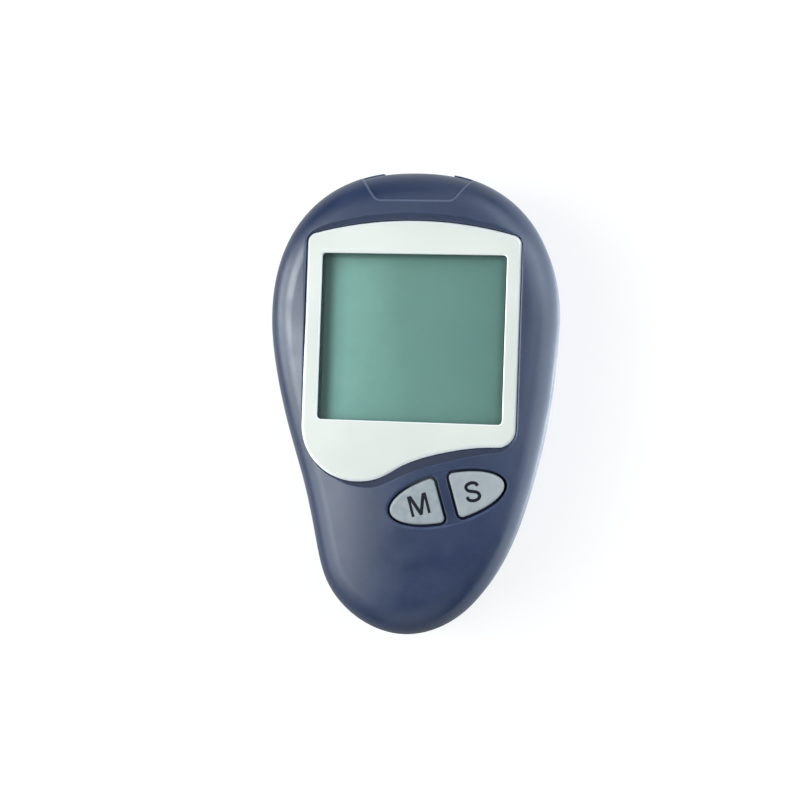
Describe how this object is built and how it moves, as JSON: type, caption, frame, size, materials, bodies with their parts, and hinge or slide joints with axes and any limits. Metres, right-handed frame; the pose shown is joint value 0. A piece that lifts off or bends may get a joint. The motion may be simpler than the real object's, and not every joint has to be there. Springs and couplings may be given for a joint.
{
  "type": "blood glucose meter",
  "caption": "Hand-held blood glucose meter with a large display under a bezel, sprung keys set in a slanted ellipse, a ramped test strip slot and a sliding battery door.",
  "frame": {"origin": "centre of the box at the flat rear face that the meter rests on", "axes": "+Y along the length towards the test strip slot, +Z out of the display, +X to the right when the display is read"},
  "size_m": [0.0616, 0.098, 0.0241],
  "materials": {
    "navy_shell": "navy satin moulded plastic",
    "silver_bezel": "silver coated plastic, fine satin",
    "adhesive": "black double sided film",
    "lens": "clear hard coated window",
    "foam": "closed cell foam",
    "polariser": "green grey display film",
    "display_glass": "thin display glass",
    "reflector": "transflective film",
    "holder_plastic": "white moulded plastic",
    "elastomer": "conductive silicone strip",
    "circuit_board": "green solder mask on glass epoxy",
    "chip_resin": "black moulded resin with tinned leads",
    "steel": "zinc plated steel",
    "passive_ceramic": "ceramic with tinned ends",
    "black_plastic": "black moulded plastic",
    "contact_metal": "nickel plated spring steel",
    "key_plastic": "pale grey key plastic",
    "switch_plastic": "tactile switch body",
    "cell_jacket": "plain printed cell jacket over steel"
  },
  "bodies": {
    "housing": {"front_shell": "navy_shell", "rear_shell": "navy_shell", "display_bezel": "silver_bezel", "bezel_adhesive": "adhesive", "display_lens": "lens", "display_dust_seal": "foam", "lcd_front_polariser": "polariser", "lcd_front_glass": "display_glass", "lcd_rear_glass": "display_glass", "lcd_rear_reflector": "reflector", "lcd_holder": "holder_plastic", "lcd_connector_strip": "elastomer", "main_board": "circuit_board", "processor_chip": "chip_resin", "analog_chip": "chip_resin", "memory_chip": "chip_resin", "clock_crystal": "steel", "board_passives": "passive_ceramic", "buzzer": "black_plastic", "strip_connector": "black_plastic", "strip_contacts": "contact_metal", "key_switch_m": "switch_plastic", "key_switch_s": "switch_plastic", "battery_cell_left": "cell_jacket", "battery_cell_right": "cell_jacket", "battery_plate_negative": "contact_metal", "battery_spring_negative": "contact_metal", "battery_plate_positive": "contact_metal", "battery_bridge": "contact_metal", "battery_bridge_spring": "contact_metal", "housing_screws": "steel", "board_screws": "steel"},
    "key_m": {"button_m": "key_plastic", "key_plunger_m": "black_plastic"},
    "key_s": {"button_s": "key_plastic", "key_plunger_s": "black_plastic"},
    "door": {"battery_door": "navy_shell"}
  },
  "joints": [
    {"name": "key_m_press", "type": "slide", "parent": "housing", "child": "key_m", "axis": [0, 0, -1], "range_m": [0, 0.0005], "stiffness_N_per_m": 2000, "springref_m": -0.0002},
    {"name": "key_s_press", "type": "slide", "parent": "housing", "child": "key_s", "axis": [0, 0, -1], "range_m": [0, 0.0005], "stiffness_N_per_m": 2000, "springref_m": -0.0002},
    {"name": "battery_door_slide", "type": "slide", "parent": "housing", "child": "door", "axis": [0, -1, 0], "range_m": [0, 0.07]}
  ]
}
